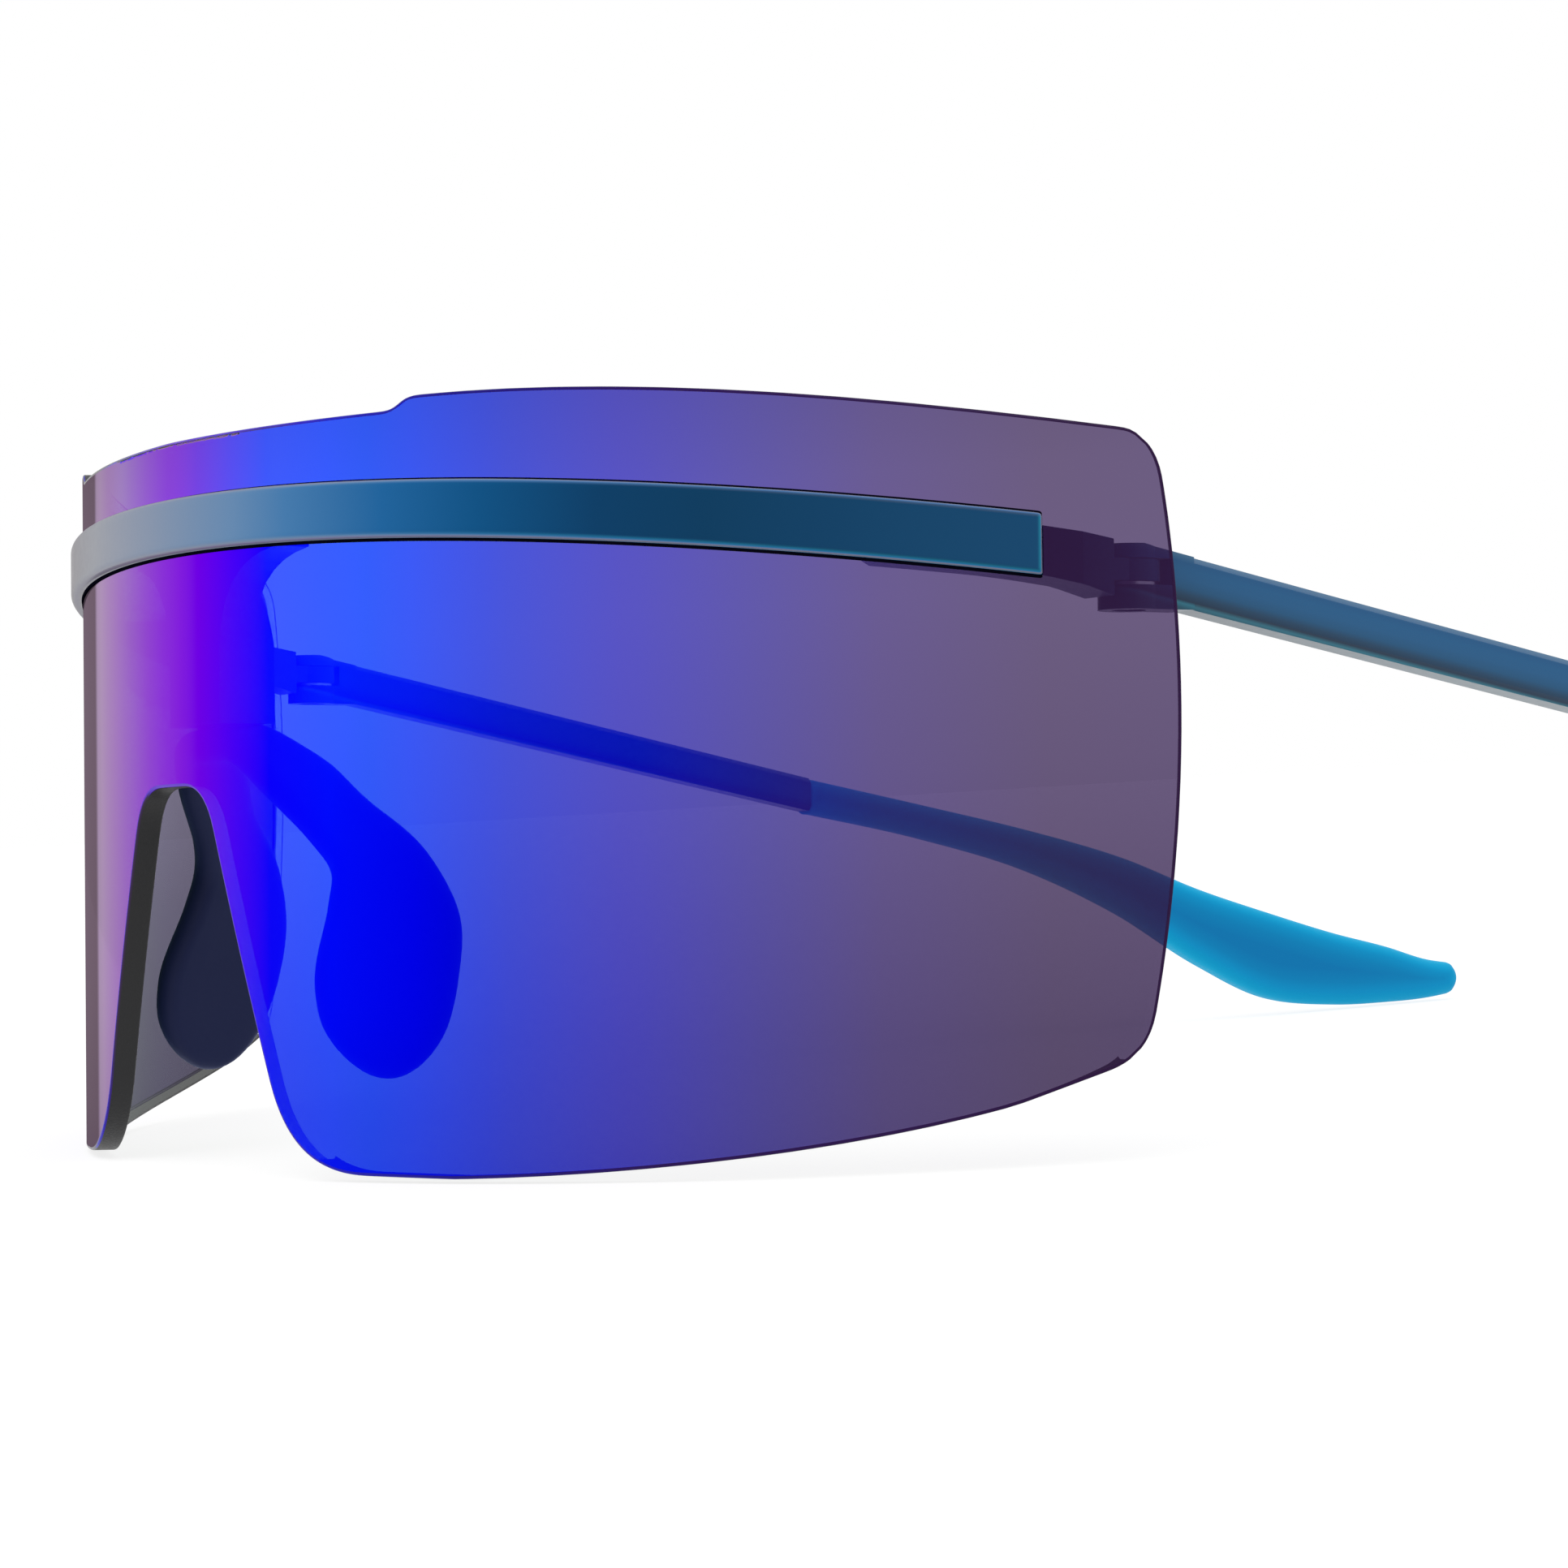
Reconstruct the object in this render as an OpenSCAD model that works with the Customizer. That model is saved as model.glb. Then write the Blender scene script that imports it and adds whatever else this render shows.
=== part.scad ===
// Wraparound sport sunglasses: one cylindrical shield lens, a brow bar in front of it, a bridge
// stem with a rubber nosepiece behind it, and two folding temples with rubber tips.
// The pieces are drawn in the lens frame (lens walls vertical, Y to the back, wearer's left at +X)
// and then leaned back by rest_tilt, so that the open glasses stand on their lens and their tips.

/* [Lens] */
// Half width of the plan ellipse that the lens wraps around
lens_a = 79.3; // [78:0.1:82]
// Half depth of the plan ellipse that the lens wraps around
lens_b = 68; // [66:0.5:72]
// Lens thickness
lens_t = 1.8; // [1.4:0.1:2.2]
// Height of the lens at its middle, above the lowest point of its lobes
lens_mid_h = 51.4; // [51:0.1:53]
// Extra height of the two outer parts of the top edge
lens_step_h = 0.6; // [0.2:0.1:1]
// Height of the top of the nose notch
notch_h = 26.8; // [25:0.1:27.5]

/* [Brow bar] */
// Height of the brow bar along the lens wall
bar_h = 3.95; // [3.8:0.05:4.3]
// Height of the brow bar's middle line at the centre of the lens
bar_mid_z = 45.2; // [45:0.1:45.6]
// Angle by which the bar's plane falls to the back
bar_fall = 9.3; // [8.5:0.1:10]
// How far the bar stands out from the lens
bar_t = 0.9; // [0.8:0.1:1.4]
// Half angle of the ellipse that the bar covers
bar_half_angle = 57.5; // [52.5:2.5:57.5]

/* [Hinges] */
// Half distance between the two hinge pins
pin_x = 64.7; // [64.5:0.1:65]
// Distance of the pins behind the front of the lens
pin_y = 39.3; // [39:0.1:39.6]
// Radius of the hinge knuckles
knuckle_r = 2; // [1.8:0.1:2]
// Radius of the hinge screw's shank
shank_r = 0.7; // [0.6:0.05:0.75]
// Running clearance between the parts of a hinge
hinge_gap = 0.04; // [0.03:0.01:0.08]

/* [Temples] */
// Thickness of a temple arm
arm_t = 2.9; // [2.6:0.1:3.2]
// Height of an arm behind its hinge
arm_h = 3.35; // [3.2:0.05:3.6]
// Height of an arm where its rubber tip starts
arm_end_h = 3; // [2.9:0.1:3.2]
// Length from the pin to the rubber tip
arm_l = 50; // [48:0.5:52]
// Length from the pin to the rear end of the tip
temple_l = 125.6; // [124:0.1:128]
// Fall of the arm over its length, as a slope
arm_fall = 0.206; // [0.2:0.002:0.212]
// Angle by which an open temple spreads outwards
splay = 1.6; // [0:0.1:2]

/* [Stance] */
// Backward lean of the open glasses when they stand on a table
rest_tilt = 3.22; // [3:0.05:3.6]
// Height by which the leaned frame is lifted to stand on the table
rest_lift = 0.47; // [0:0.01:1]
// Distance from the front of the lens to the middle of the standing glasses
middle_y = 83.34; // [82:0.01:85]

/* [Hidden] */
LEFT = 1;
RIGHT = -1;
step = 2.5;                       // angle between two flats of the lens wall
wrap_angle = 67.5;                // half angle of the wall before its ends are cut
end_back = 38.7;                  // how far back the lens ends reach
tall = 80;                        // height of the blocks that cut the lens wall
wide = 160;
bar_cant = [0.15, 0.5];           // steps that round the bar's front edges

stud_r = 1;                       // studs behind the bar, through the lens
stud_l = 3.2;
stud_play = 0.1;
frame_screw_r = 0.6;
frame_head_r = 1.3;
frame_head_h = 0.7;
frame_web = 0.4;                  // wall under the head of a frame screw
stem_stud_angle = 5.5;
endpiece_stud_angle = 52.5;
endpiece_front_angle = 47.5;
endpiece_t = 3.4;
endpiece_step = 0.45;             // how much lower than the bar an endpiece is, at each edge
endpiece_foot_z = 37.05;          // underside of an endpiece at the hinge

stem_t = 2.6;
stem_half_w = 4.6;
spine_y = 6.3;                    // rear of the thick lower part of the stem
peg = [6, 1.6, 2.1];              // tongue of the stem inside the nosepiece
peg_y = 4.2;
sleeve_top = 31.2;
rubber_r = 1.2;                   // edge radius of the nosepiece

foot_z = 36.26;                   // underside of the lower finger
finger_h = 1.54;
washer_t = 0.2;
washer_r = 1.9;
tongue_z = foot_z + finger_h + washer_t + hinge_gap;
tongue_h = 1.42;
upper_z = tongue_z + tongue_h + hinge_gap;
upper_h = 0.92;
bush_r = 1.1;
insert_h = 0.6;
head_r = 1.05;
head_h = 0.45;
head_recess = 0.55;
crotch = 0.15;                    // gap around the knuckles
arm_out = 1.8;                    // outer face of an arm, outside the pin
arm_top = 0.46;                   // drop of the arm's top line below the upper finger
arm_bevel = 0.4;
arm_root = 2.2;                   // start of the arm behind the pin
root_l = 1.6;                     // length of the solid root behind the two fingers
spigot = [1.4, 26, 1.9];          // end of the arm inside the rubber tip

round_fn = 48;
ball_fn = 16;

// ---- plan curve of the lens ----
function lens_normal(t) = let(n = [sin(t) / lens_a, -cos(t) / lens_b]) n / norm(n);
function plan(t, out = 0) = [lens_a * sin(t), lens_b * (1 - cos(t))] + out * lens_normal(t);
function curve(p, q, r, n = 6) = [for (i = [0:n]) let(t = i / n)
    (1 - t) * (1 - t) * p + 2 * t * (1 - t) * q + t * t * r];
function flip_x(points) = [for (i = [len(points) - 1:-1:0]) [-points[i][0], points[i][1]]];
function bar_z(y) = bar_mid_z - y * tan(bar_fall);

module in_stance() {
    translate([0, -middle_y, rest_lift]) rotate([-rest_tilt, 0, 0]) children();
}

module for_side(side) {
    mirror([side == RIGHT ? 1 : 0, 0, 0]) children();
}

// Strip of the lens wall between two offsets, flat by flat
module wall_strip(from_angle, to_angle, inner, outer) {
    polygon(concat([for (t = [from_angle:step:to_angle]) plan(t, outer)],
                   [for (t = [to_angle:-step:from_angle]) plan(t, inner)]));
}

// Slab that falls to the back with the bar
module bar_slab(height) {
    translate([0, 0, bar_mid_z]) rotate([-bar_fall, 0, 0])
        translate([-wide / 2, -10, -height / 2]) cube([wide, wide, height]);
}

// Puts its children on the lens's outer face, with +Z towards the wearer
module on_wall(angle) {
    spot = plan(angle);
    n = lens_normal(angle);
    translate([spot[0], spot[1], bar_z(spot[1])])
        rotate([90, 0, atan2(n[0], -n[1])]) mirror([0, 0, 1]) children();
}

// ---- shield lens ----
// Right half of the front outline; the notch and the lobe come first, then the top edge
function half_outline() = concat(
    [[0, notch_h]],
    curve([2.4, notch_h], [6, notch_h], [7.3, 23.2]),
    curve([14.9, 5.7], [18, 0], [25.6, 0]),
    curve([33.5, 0], [56, 0.9], [65.5, 5]),
    curve([65.5, 5], [68.4, 6.6], [wide / 2, 14], 4),
    [[wide / 2, lens_mid_h - 7]],
    curve([70, lens_mid_h - 4.1], [53.5, lens_mid_h + lens_step_h - 0.25],
          [31.4, lens_mid_h + lens_step_h], 12),
    curve([31.4, lens_mid_h + lens_step_h], [30.2, lens_mid_h + lens_step_h],
          [29.7, lens_mid_h + lens_step_h / 2 - 0.1], 4),
    curve([29.7, lens_mid_h + lens_step_h / 2 - 0.1], [29.2, lens_mid_h - 0.3],
          [27.9, lens_mid_h - 0.25], 4),
    [[0, lens_mid_h]]);

// Side outline that bows the lens ends and rounds their corners, in depth and height
function end_outline() = concat(
    [[-5, -5], [34, -5], [34.6, 6.9]],
    curve([35.2, 7.5], [36.7, 8.4], [37.1, 10.6]),
    curve([37.1, 10.6], [2 * end_back - 37.5, 28], [37.8, 44.3], 12),
    curve([37.8, 44.3], [37.5, 46.3], [36.3, 47.1]),
    [[36, tall], [-5, tall]]);

module lens_blank() {
    intersection() {
        linear_extrude(tall) wall_strip(-wrap_angle, wrap_angle, -lens_t, 0);
        translate([0, 90, 0]) rotate([90, 0, 0]) linear_extrude(100)
            polygon(concat(half_outline(), flip_x(half_outline())));
        translate([-wide / 2, 0, 0]) rotate([90, 0, 90]) linear_extrude(wide)
            polygon(end_outline());
    }
}

module shield_lens() {
    color([0.28, 0.27, 0.55, 0.6]) in_stance() difference() {
        lens_blank();
        for (angle = [-endpiece_stud_angle, -stem_stud_angle, stem_stud_angle, endpiece_stud_angle])
            on_wall(angle) translate([0, 0, -2]) cylinder(r = stud_r + stud_play, h = 8, $fn = round_fn);
    }
}

// ---- brow bar ----
module brow_bar() {
    color([0.12, 0.36, 0.48]) in_stance() difference() {
        union() {
            bar_layer(bar_t * 0.64, bar_h);
            bar_layer(bar_t * 0.86, bar_h - 2 * bar_cant[0]);
            bar_layer(bar_t, bar_h - 2 * bar_cant[1]);
            for (angle = [-endpiece_stud_angle, -stem_stud_angle, stem_stud_angle, endpiece_stud_angle])
                on_wall(angle) translate([0, 0, -bar_t / 2])
                    cylinder(r = stud_r, h = stud_l + bar_t / 2, $fn = round_fn);
        }
        for (angle = [-endpiece_stud_angle, -stem_stud_angle, stem_stud_angle, endpiece_stud_angle])
            on_wall(angle) translate([0, 0, 0.5]) cylinder(r = frame_screw_r, h = 4, $fn = round_fn);
    }
}

module bar_layer(out, height) {
    intersection() {
        linear_extrude(tall) wall_strip(-bar_half_angle, bar_half_angle, 0, out);
        bar_slab(height);
    }
}

// ---- parts behind the lens ----
// Stud seat, screw hole and head recess of one frame screw
module frame_screw_seat() {
    translate([0, 0, -1]) cylinder(r = stud_r, h = stud_l + 1, $fn = round_fn);
    cylinder(r = frame_screw_r + 0.05, h = 10, $fn = round_fn);
    translate([0, 0, stud_l + frame_web]) cylinder(r = frame_head_r + 0.05, h = 10, $fn = round_fn);
}

module frame_screw(angle) {
    color([0.72, 0.73, 0.75]) in_stance() on_wall(angle) difference() {
        union() {
            translate([0, 0, 0.7]) cylinder(r = frame_screw_r, h = stud_l + frame_web - 0.2, $fn = round_fn);
            translate([0, 0, stud_l + frame_web]) cylinder(r = frame_head_r, h = frame_head_h, $fn = round_fn);
        }
        translate([0, 0, stud_l + frame_web + frame_head_h / 2]) cross_slot(frame_head_r);
    }
}

module cross_slot(r) {
    for (turn = [0, 90]) rotate(turn) translate([-0.7 * r, -0.14 * r, 0]) cube([1.4 * r, 0.28 * r, 1]);
}

// Side outline of the stem's thick lower part, in depth and height
function spine_outline() = concat(
    [[lens_t + 0.6, sleeve_top], [spine_y, sleeve_top]],
    curve([spine_y, 36.5], [spine_y - 0.4, 40], [lens_t + stem_t - 0.2, 42.5]),
    [[lens_t + 0.6, 42.5]]);

module bridge_stem() {
    top = bar_mid_z + bar_h / 2 - 0.9;
    outline = concat([[-stem_half_w, sleeve_top]], [[stem_half_w, sleeve_top]],
        curve([stem_half_w, 36.5], [stem_half_w + 0.4, 42.4], [12.8, 43.2], 8), [[12.8, top]],
        [[-12.8, top]],
        curve([-12.8, 43.2], [-stem_half_w - 0.4, 42.4], [-stem_half_w, 36.5], 8));
    color([0.10, 0.30, 0.42]) in_stance() difference() {
        union() {
            intersection() {
                linear_extrude(tall) wall_strip(-10, 10, -lens_t - stem_t, -lens_t);
                translate([0, 20, 0]) rotate([90, 0, 0]) linear_extrude(30) polygon(outline);
            }
            translate([-stem_half_w + 0.2, 0, 0]) rotate([90, 0, 90])
                linear_extrude(2 * stem_half_w - 0.4) polygon(spine_outline());
            translate([-peg[0] / 2, peg_y - peg[1] / 2, sleeve_top - peg[2]])
                cube([peg[0], peg[1], peg[2] + 1]);
        }
        for (angle = [-stem_stud_angle, stem_stud_angle]) on_wall(angle) frame_screw_seat();
    }
}

// Centre points of the nosepiece's edges on one side: front edge, rear edge
nose_ribs = [
    [[4.4, 3.4, 29.7], [4.4, 5.4, 29.95]],
    [[7.2, 5.8, 26.9], [7.3, 7.8, 27.8]],
    [[10.5, 7.4, 23.4], [10.5, 9.8, 24.8]],
    [[12.5, 8.2, 20.8], [13.2, 12.8, 21.9]],
    [[13.2, 7.7, 18.2], [15, 14.1, 18.1]],
    [[14.4, 6.1, 12.9], [15.9, 13.7, 12.6]],
    [[15.4, 6.5, 9.1], [16.4, 12, 8.6]],
    [[16.2, 8.9, 7.4], [16.4, 9.9, 7.4]]];

module nose_rib(points, r = rubber_r) {
    for (p = points) translate(p) sphere(r = r, $fn = ball_fn);
}

module nosepiece() {
    color([0.09, 0.13, 0.30]) in_stance() difference() {
        union() {
            hull() for (side = [LEFT, RIGHT]) for_side(side) nose_rib(nose_ribs[0], rubber_r + 0.05);
            for (side = [LEFT, RIGHT], i = [0:len(nose_ribs) - 2]) for_side(side)
                hull() { nose_rib(nose_ribs[i]); nose_rib(nose_ribs[i + 1]); }
        }
        translate([-peg[0] / 2, peg_y - peg[1] / 2, sleeve_top - peg[2]])
            cube([peg[0], peg[1], peg[2] + 1]);
    }
}

// Side outline of an endpiece, in depth and height: level with the bar in front, deeper at the hinge
function endpiece_outline(shoulder) = let(half = bar_h / 2 / cos(bar_fall) - endpiece_step) concat(
    [[15, bar_z(15) + half], [15, bar_z(15) - half]],
    curve([31, bar_z(31) - half], [34.5, bar_z(34.5) - half - 0.1], [shoulder, endpiece_foot_z]),
    [[40, endpiece_foot_z], [40, bar_z(40) + half]]);

module endpiece(side) {
    shoulder = pin_y - knuckle_r - crotch;
    color([0.10, 0.30, 0.42]) in_stance() for_side(side) difference() {
        union() {
            intersection() {
                linear_extrude(tall) polygon(concat(
                    [for (t = [endpiece_front_angle:step:57.5]) plan(t, -lens_t)],
                    [[pin_x + arm_out - 0.1, pin_y - 4.5], [pin_x + arm_out - 0.1, shoulder],
                     [pin_x - arm_out, shoulder]],
                    [for (t = [57.5:-step:endpiece_front_angle]) plan(t, -lens_t - endpiece_t)]));
                rotate([90, 0, 90]) linear_extrude(wide / 2) polygon(endpiece_outline(shoulder));
            }
            translate([pin_x, pin_y, tongue_z]) cylinder(r = knuckle_r, h = tongue_h, $fn = round_fn);
            translate([pin_x - 1.7, shoulder - 1, tongue_z]) cube([3.4, knuckle_r + crotch + 1, tongue_h]);
        }
        translate([pin_x, pin_y, tongue_z - 1]) cylinder(r = bush_r, h = tongue_h + 2, $fn = round_fn);
        on_wall(endpiece_stud_angle) frame_screw_seat();
    }
}

// ---- hinges ----
module at_pin(side, z) {
    in_stance() for_side(side) translate([pin_x, pin_y, z]) children();
}

module hinge_bush(side) {
    color([0.78, 0.62, 0.32]) at_pin(side, tongue_z) difference() {
        cylinder(r = bush_r, h = tongue_h, $fn = round_fn);
        translate([0, 0, -1]) cylinder(r = shank_r + hinge_gap, h = tongue_h + 2, $fn = round_fn);
    }
}

module hinge_washer(side) {
    color([0.80, 0.80, 0.82]) at_pin(side, foot_z + finger_h) difference() {
        cylinder(r = washer_r, h = washer_t, $fn = round_fn);
        translate([0, 0, -1]) cylinder(r = shank_r, h = washer_t + 2, $fn = round_fn);
    }
}

module hinge_insert(side) {
    color([0.78, 0.62, 0.32]) at_pin(side, upper_z) difference() {
        cylinder(r = bush_r, h = insert_h, $fn = round_fn);
        translate([0, 0, -1]) cylinder(r = shank_r, h = insert_h + 2, $fn = round_fn);
    }
}

module hinge_screw(side) {
    head_z = foot_z + head_recess - head_h;
    color([0.72, 0.73, 0.75]) at_pin(side, head_z) difference() {
        union() {
            cylinder(r = head_r, h = head_h, $fn = round_fn);
            cylinder(r = shank_r, h = upper_z + insert_h - 0.1 - head_z, $fn = round_fn);
        }
        translate([0, 0, -0.8]) cross_slot(head_r);
    }
}

// ---- temples ----
// Turns its children about the pin, so that the temple spreads outwards, and lets them run along Y
module along_temple() {
    translate([pin_x, pin_y, 0]) rotate(-splay) children();
}

function arm_top_z(d) = upper_z + upper_h - arm_top - arm_fall * (d - arm_root);

// Thin bevelled slice of the arm, from a top height down
module arm_slice(d, height) {
    mid_x = arm_out - arm_t / 2;
    for (cut = [[0, arm_bevel], [arm_bevel, 0]])
        translate([mid_x - arm_t / 2 + cut[0], d, arm_top_z(d) - height + cut[1]])
            cube([arm_t - 2 * cut[0], 0.01, height - 2 * cut[1]]);
}

module temple_arm(side) {
    color([0.10, 0.38, 0.58]) in_stance() for_side(side) difference() {
        union() {
            along_temple() {
                hull() { arm_slice(arm_root + 1.2, arm_h); arm_slice(arm_l, arm_end_h); }
                translate([arm_out - arm_t, arm_root, foot_z]) cube([arm_t, root_l, upper_z + upper_h - foot_z]);
                translate([arm_out - arm_t / 2 - spigot[0] / 2, arm_l - 1, arm_top_z(arm_l) - arm_end_h / 2])
                    rotate([-atan(arm_fall), 0, 0])
                        translate([0, 0, -spigot[2] / 2]) cube(spigot);
                for (z = [[foot_z, finger_h], [upper_z, upper_h]]) translate([0, 0, z[0]]) {
                    cylinder(r = knuckle_r, h = z[1], $fn = round_fn);
                    translate([arm_out - arm_t, 0, 0]) cube([arm_t, arm_root + 1, z[1]]);
                }
            }
        }
        // everything behind the pin ends at the arm's top line
        along_temple() translate([-5, 0, arm_top_z(0)]) rotate([-atan(arm_fall), 0, 0]) cube(10);
        translate([pin_x, pin_y, foot_z - 1]) {
            cylinder(r = shank_r + 0.05, h = finger_h + 2, $fn = round_fn);
            cylinder(r = head_r + 0.05, h = head_recess + 1, $fn = round_fn);
        }
        translate([pin_x, pin_y, upper_z - 1]) cylinder(r = bush_r, h = insert_h + 1, $fn = round_fn);
    }
}

// Rubber tip: distance behind the pin, top height and bottom height of each section
tip_sections = [
    [arm_l - 1, 30.3, 27.1], [63.3, 27.6, 24.45], [74.2, 25.45, 21.7], [85, 22.85, 17.4],
    [94.7, 19.55, 12.2], [102.4, 17.4, 9], [110.5, 15.3, 8.1], [122, 12.5, 8.6],
    [temple_l - 1.2, 12.2, 9.1]];
tip_r = 1.2;
tip_half_t = 1.55;

module tip_section(section) {
    for (x = [-1, 1], z = [section[1] - tip_r, section[2] + tip_r])
        translate([arm_out - arm_t / 2 + x * (tip_half_t - tip_r), section[0], z])
            sphere(r = tip_r, $fn = ball_fn);
}

module temple_tip(side) {
    color([0.00, 0.56, 0.76]) in_stance() for_side(side) along_temple() difference() {
        for (i = [0:len(tip_sections) - 2])
            hull() { tip_section(tip_sections[i]); tip_section(tip_sections[i + 1]); }
        translate([-10, arm_l - 20, 0]) cube([20, 20, 60]);
        translate([arm_out - arm_t / 2 - spigot[0] / 2, arm_l - 1, arm_top_z(arm_l) - arm_end_h / 2])
            rotate([-atan(arm_fall), 0, 0])
                translate([0, 0, -spigot[2] / 2]) cube(spigot);
    }
}

shield_lens();
brow_bar();
bridge_stem();
nosepiece();
endpiece(LEFT);  // endpiece_left
endpiece(RIGHT);  // endpiece_right
frame_screw(stem_stud_angle);  // bridge_screw_left
frame_screw(-stem_stud_angle);  // bridge_screw_right
frame_screw(endpiece_stud_angle);  // endpiece_screw_left
frame_screw(-endpiece_stud_angle);  // endpiece_screw_right
hinge_bush(LEFT);  // hinge_bush_left
hinge_bush(RIGHT);  // hinge_bush_right
temple_arm(LEFT);  // temple_arm_left
temple_arm(RIGHT);  // temple_arm_right
temple_tip(LEFT);  // temple_tip_left
temple_tip(RIGHT);  // temple_tip_right
hinge_insert(LEFT);  // hinge_insert_left
hinge_insert(RIGHT);  // hinge_insert_right
hinge_washer(LEFT);  // hinge_washer_left
hinge_washer(RIGHT);  // hinge_washer_right
hinge_screw(LEFT);  // hinge_screw_left
hinge_screw(RIGHT);  // hinge_screw_right
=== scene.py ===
import math

import bmesh
import bpy
import numpy as np
from mathutils import Matrix, Vector


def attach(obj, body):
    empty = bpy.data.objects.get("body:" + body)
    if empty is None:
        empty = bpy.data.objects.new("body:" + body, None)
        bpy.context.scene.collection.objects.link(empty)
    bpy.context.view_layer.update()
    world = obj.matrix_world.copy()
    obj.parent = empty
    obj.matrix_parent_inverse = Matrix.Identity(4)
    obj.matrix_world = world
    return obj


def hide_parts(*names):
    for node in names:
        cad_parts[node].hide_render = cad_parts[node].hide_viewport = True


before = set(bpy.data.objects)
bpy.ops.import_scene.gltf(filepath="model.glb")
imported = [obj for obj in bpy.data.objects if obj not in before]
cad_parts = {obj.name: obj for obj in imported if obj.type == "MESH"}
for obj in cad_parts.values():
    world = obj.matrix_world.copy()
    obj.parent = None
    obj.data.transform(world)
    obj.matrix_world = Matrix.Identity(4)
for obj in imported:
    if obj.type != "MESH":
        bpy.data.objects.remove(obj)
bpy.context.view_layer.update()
scene = bpy.context.scene

# The pieces are drawn in millimetres in the lens frame of the CAD model (lens walls vertical, front of
# the lens at Y 0, Y to the back, wearer's left at +X) and then leaned back as the CAD model is.
LEAN = math.radians(3.22)
MIDDLE_Y, LIFT = 83.34, 0.47
A, B = 79.3, 68.0                 # half width and half depth of the lens's plan ellipse
LENS_T = 1.8
LENS_TOP, LENS_STEP, NOTCH_TOP = 51.4, 0.6, 26.8
LENS_BACK = 38.7                  # how far back the lens ends reach
BAR_H, BAR_T, BAR_Z = 3.95, 0.9, 45.2
BAR_FALL = math.radians(9.3)
BAR_END = math.radians(57.5)      # angle of the bar's ends
PER_RADIAN = 79                   # rough length of the wrap to a radian, for rounding the bar's ends
STUDS = (-52.5, -5.5, 5.5, 52.5)  # angles of the bar's studs, in degrees
PIN_X, PIN_Y, SPLAY = 64.7, 39.3, math.radians(1.6)
ARM_MID = 1.8 - 2.9 / 2           # middle of an arm, outside the pin
ARM_TOP, ARM_FALL = 40.41, 0.206  # height of an arm's top line at the pin, and its slope
HALF_W, HEIGHT = 0.0716, 0.0525   # about half the lens's width, and its height, in metres, for its colours
SOFT_EDGE = 0.18                  # width of the rounded edges of the nylon pieces


def standing(points):
    """Points of the lens frame, in millimetres, as points of the part's own frame, in metres."""
    x, y, z = np.asarray(points, float).reshape(-1, 3).T
    s, c = math.sin(LEAN), math.cos(LEAN)
    return np.stack([x, y * c + z * s - MIDDLE_Y, z * c - y * s + LIFT], 1) / 1000


def path_length(points):
    """Distance along a line of points, at each of them."""
    return np.concatenate([[0], np.cumsum(np.linalg.norm(np.diff(points, axis=0), axis=1))])


def curve(p, q, r, n=12):
    """Quadratic curve from p to r, pulled towards q."""
    t = np.linspace(0, 1, n + 1)[:, None]
    return (1 - t) ** 2 * np.array(p) + 2 * t * (1 - t) * np.array(q) + t ** 2 * np.array(r)


def through(points, n):
    """Smooth curve through points, as n points with even steps along it."""
    p = np.asarray(points, float)
    at = path_length(p)
    slope = np.gradient(p, at, axis=0)
    u = np.linspace(0, at[-1], n)
    i = np.clip(np.searchsorted(at, u, side="right") - 1, 0, len(p) - 2)
    h = (at[i + 1] - at[i])[:, None]
    s = (u - at[i])[:, None] / h
    return ((2 * s ** 3 - 3 * s ** 2 + 1) * p[i] + (s ** 3 - 2 * s ** 2 + s) * h * slope[i]
            + (3 * s ** 2 - 2 * s ** 3) * p[i + 1] + (s ** 3 - s ** 2) * h * slope[i + 1])


def keep(bm, name, body, node, materials):
    """Makes the piece of a bmesh, which stands for a CAD node."""
    bmesh.ops.remove_doubles(bm, verts=bm.verts, dist=1e-7)
    bmesh.ops.recalc_face_normals(bm, faces=bm.faces)
    for f in bm.faces:
        f.smooth = True
    mesh = bpy.data.meshes.new(name)
    bm.to_mesh(mesh)
    bm.free()
    for m in materials:
        mesh.materials.append(m)
    piece = bpy.data.objects.new(name, mesh)
    scene.collection.objects.link(piece)
    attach(piece, body)
    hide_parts(node)


def add_grid(bm, points, material=0, closed=False):
    """Quads over a grid of points, rows by columns; closed joins the last column to the first. The material
    is one slot number, or one for each column."""
    rows, cols = points.shape[:2]
    v = [bm.verts.new(p) for p in standing(points)]
    for i in range(rows - 1):
        for j in range(cols if closed else cols - 1):
            k = (j + 1) % cols
            f = bm.faces.new([v[i * cols + j], v[i * cols + k], v[(i + 1) * cols + k], v[(i + 1) * cols + j]])
            f.material_index = material if np.isscalar(material) else int(material[j])
    return v


def add_loft(bm, rings, material=0):
    """Closed skin over rings of points, with a fan over each end."""
    cols = rings.shape[1]
    v = add_grid(bm, rings, material, closed=True)
    for ring, points in ((v[:cols], rings[0]), (v[-cols:], rings[-1])):
        middle = bm.verts.new(standing(points.mean(0))[0])
        for j in range(cols):
            bm.faces.new([ring[j], ring[(j + 1) % cols], middle])


# ---------------------------------------------------------------- materials
def material(name, colour, rough, **sockets):
    """New material, with its node tree and its shader; other sockets of the shader are set by name."""
    m = bpy.data.materials.new(name)
    m.use_nodes = True
    p = m.node_tree.nodes["Principled BSDF"]
    p.inputs["Base Color"].default_value = (*colour, 1)
    p.inputs["Roughness"].default_value = rough
    for key, value in sockets.items():
        p.inputs[key.replace("_", " ")].default_value = value
    return m, m.node_tree, p


def node(tree, kind, **settings):
    n = tree.nodes.new("ShaderNode" + kind)
    for key, value in settings.items():
        setattr(n, key, value)
    return n


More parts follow.
